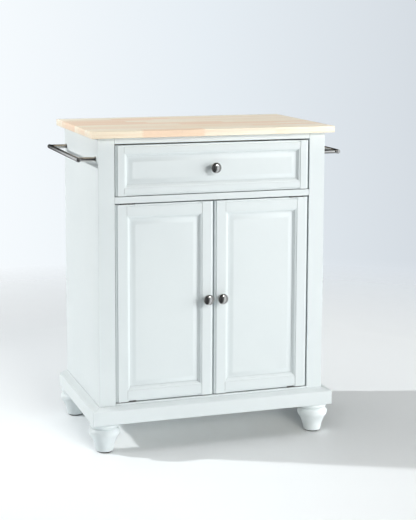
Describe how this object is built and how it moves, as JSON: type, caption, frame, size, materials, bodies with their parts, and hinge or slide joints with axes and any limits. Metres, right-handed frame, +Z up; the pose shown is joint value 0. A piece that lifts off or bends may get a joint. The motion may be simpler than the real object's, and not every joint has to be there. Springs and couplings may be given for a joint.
{
  "type": "butcher block table",
  "caption": "Painted kitchen cabinet table with a solid wood top, a drawer over a pair of panelled doors, side towel bars and turned feet.",
  "frame": {"origin": "middle of the footprint, on the floor under the feet", "axes": "+Z up, +X to the right of a person facing the doors, -Y towards that person"},
  "size_m": [0.7876, 0.461, 0.914],
  "materials": {
    "white_paint": "satin white paint over wood",
    "block_wood": "oiled, sanded smooth, long staves with finger joints",
    "drawer_wood": "clear-lacquered plywood",
    "satin_nickel": "satin nickel",
    "zinc_steel": "zinc-plated pressed steel",
    "hinge_steel": "dark plated steel",
    "roller_nylon": "white nylon",
    "catch_plastic": "brown plastic with steel pole plates"
  },
  "bodies": {
    "cabinet": {"butcher_block_top": "block_wood", "side_panel_left": "white_paint", "side_panel_right": "white_paint", "back_panel": "white_paint", "bottom_panel": "white_paint", "adjustable_shelf": "white_paint", "rear_top_stretcher": "white_paint", "face_stile_left": "white_paint", "face_stile_right": "white_paint", "face_top_rail": "white_paint", "face_middle_rail": "white_paint", "face_bottom_rail": "white_paint", "base_moulding_front": "white_paint", "base_moulding_left": "white_paint", "base_moulding_right": "white_paint", "foot_front_left": "white_paint", "foot_rear_left": "white_paint", "foot_front_right": "white_paint", "foot_rear_right": "white_paint", "towel_bar_left": "satin_nickel", "towel_post_front_left": "satin_nickel", "towel_post_rear_left": "satin_nickel", "towel_bar_right": "satin_nickel", "towel_post_front_right": "satin_nickel", "towel_post_rear_right": "satin_nickel", "hinge_case_leaf_left_upper": "hinge_steel", "hinge_case_leaf_left_lower": "hinge_steel", "hinge_case_leaf_right_upper": "hinge_steel", "hinge_case_leaf_right_lower": "hinge_steel", "magnetic_catch": "catch_plastic", "slide_channel_left": "zinc_steel", "slide_channel_right": "zinc_steel"},
    "drawer": {"drawer_front": "white_paint", "drawer_knob": "satin_nickel", "drawer_side_left": "drawer_wood", "drawer_side_right": "drawer_wood", "drawer_back": "drawer_wood", "drawer_bottom": "drawer_wood", "slide_runner_left": "zinc_steel", "slide_runner_right": "zinc_steel"},
    "left_door": {"left_door_hinge_stile": "white_paint", "left_door_latch_stile": "white_paint", "left_door_top_rail": "white_paint", "left_door_bottom_rail": "white_paint", "left_door_panel": "white_paint", "left_door_knob": "satin_nickel", "hinge_door_leaf_left_upper": "hinge_steel", "hinge_door_leaf_left_lower": "hinge_steel"},
    "right_door": {"right_door_hinge_stile": "white_paint", "right_door_latch_stile": "white_paint", "right_door_top_rail": "white_paint", "right_door_bottom_rail": "white_paint", "right_door_panel": "white_paint", "right_door_knob": "satin_nickel", "hinge_door_leaf_right_upper": "hinge_steel", "hinge_door_leaf_right_lower": "hinge_steel"},
    "front_roller_left": {"slide_front_roller_left": "roller_nylon"},
    "front_roller_right": {"slide_front_roller_right": "roller_nylon"},
    "rear_roller_left": {"slide_rear_roller_left": "roller_nylon"},
    "rear_roller_right": {"slide_rear_roller_right": "roller_nylon"}
  },
  "joints": [
    {"name": "drawer_slide", "type": "slide", "parent": "cabinet", "child": "drawer", "axis": [0, -1, 0], "range_m": [0, 0.28]},
    {"name": "left_door_hinge", "type": "hinge", "parent": "cabinet", "child": "left_door", "pos_m": [-0.2695, -0.1965, 0.4265], "axis": [0, 0, -1], "range_deg": [0, 110]},
    {"name": "right_door_hinge", "type": "hinge", "parent": "cabinet", "child": "right_door", "pos_m": [0.2695, -0.1965, 0.4265], "axis": [0, 0, 1], "range_deg": [0, 110]},
    {"name": "front_roller_left_spin", "type": "hinge", "parent": "cabinet", "child": "front_roller_left", "pos_m": [-0.284, -0.1712, 0.768], "axis": [1, 0, 0], "continuous": true},
    {"name": "front_roller_right_spin", "type": "hinge", "parent": "cabinet", "child": "front_roller_right", "pos_m": [0.284, -0.1712, 0.768], "axis": [1, 0, 0], "continuous": true},
    {"name": "rear_roller_left_spin", "type": "hinge", "parent": "drawer", "child": "rear_roller_left", "pos_m": [-0.284, 0.1533, 0.768], "axis": [1, 0, 0], "continuous": true},
    {"name": "rear_roller_right_spin", "type": "hinge", "parent": "drawer", "child": "rear_roller_right", "pos_m": [0.284, 0.1533, 0.768], "axis": [1, 0, 0], "continuous": true}
  ],
  "couplings": [
    {"joint": "front_roller_left_spin", "follows": "drawer_slide", "rad_per_m": 95.238},
    {"joint": "front_roller_right_spin", "follows": "drawer_slide", "rad_per_m": 95.238},
    {"joint": "rear_roller_left_spin", "follows": "drawer_slide", "rad_per_m": 95.238},
    {"joint": "rear_roller_right_spin", "follows": "drawer_slide", "rad_per_m": 95.238}
  ]
}
